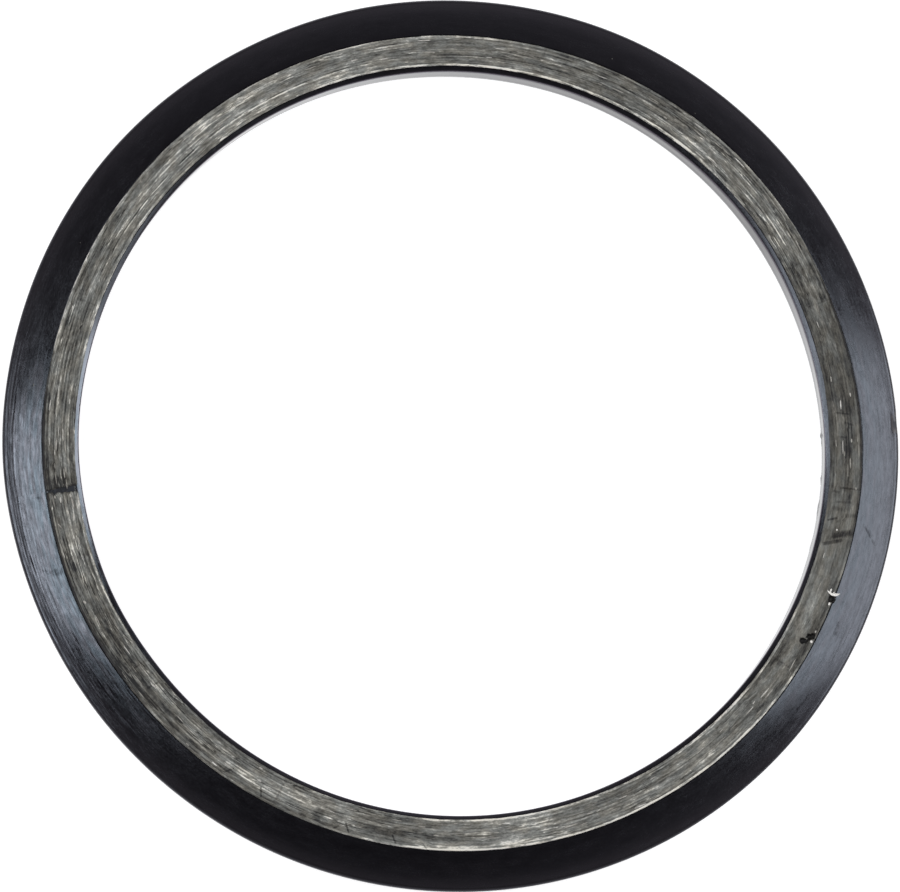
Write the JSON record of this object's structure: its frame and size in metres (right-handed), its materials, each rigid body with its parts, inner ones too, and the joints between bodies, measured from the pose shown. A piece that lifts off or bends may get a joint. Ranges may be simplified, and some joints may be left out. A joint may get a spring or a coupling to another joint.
{
  "type": "rubber seal ring",
  "caption": "Flat black rubber seal ring with a plain bore, a tapered outer lip and a grey woven fabric facing bonded into its upper face.",
  "frame": {"origin": "on the ring's axis, in the plane of its lower flat face", "axes": "+Z along the ring's axis, from the plain lower face to the fabric-faced upper side; +X towards the bias seams, +Y a quarter turn from it"},
  "size_m": [0.12, 0.12, 0.005],
  "materials": {
    "black_rubber": "smooth moulded, semi-gloss",
    "grey_fabric": "woven, rubber-coated, streaky"
  },
  "bodies": {
    "root": {"rubber_ring": "black_rubber", "fabric_facing": "grey_fabric"}
  },
  "joints": []
}
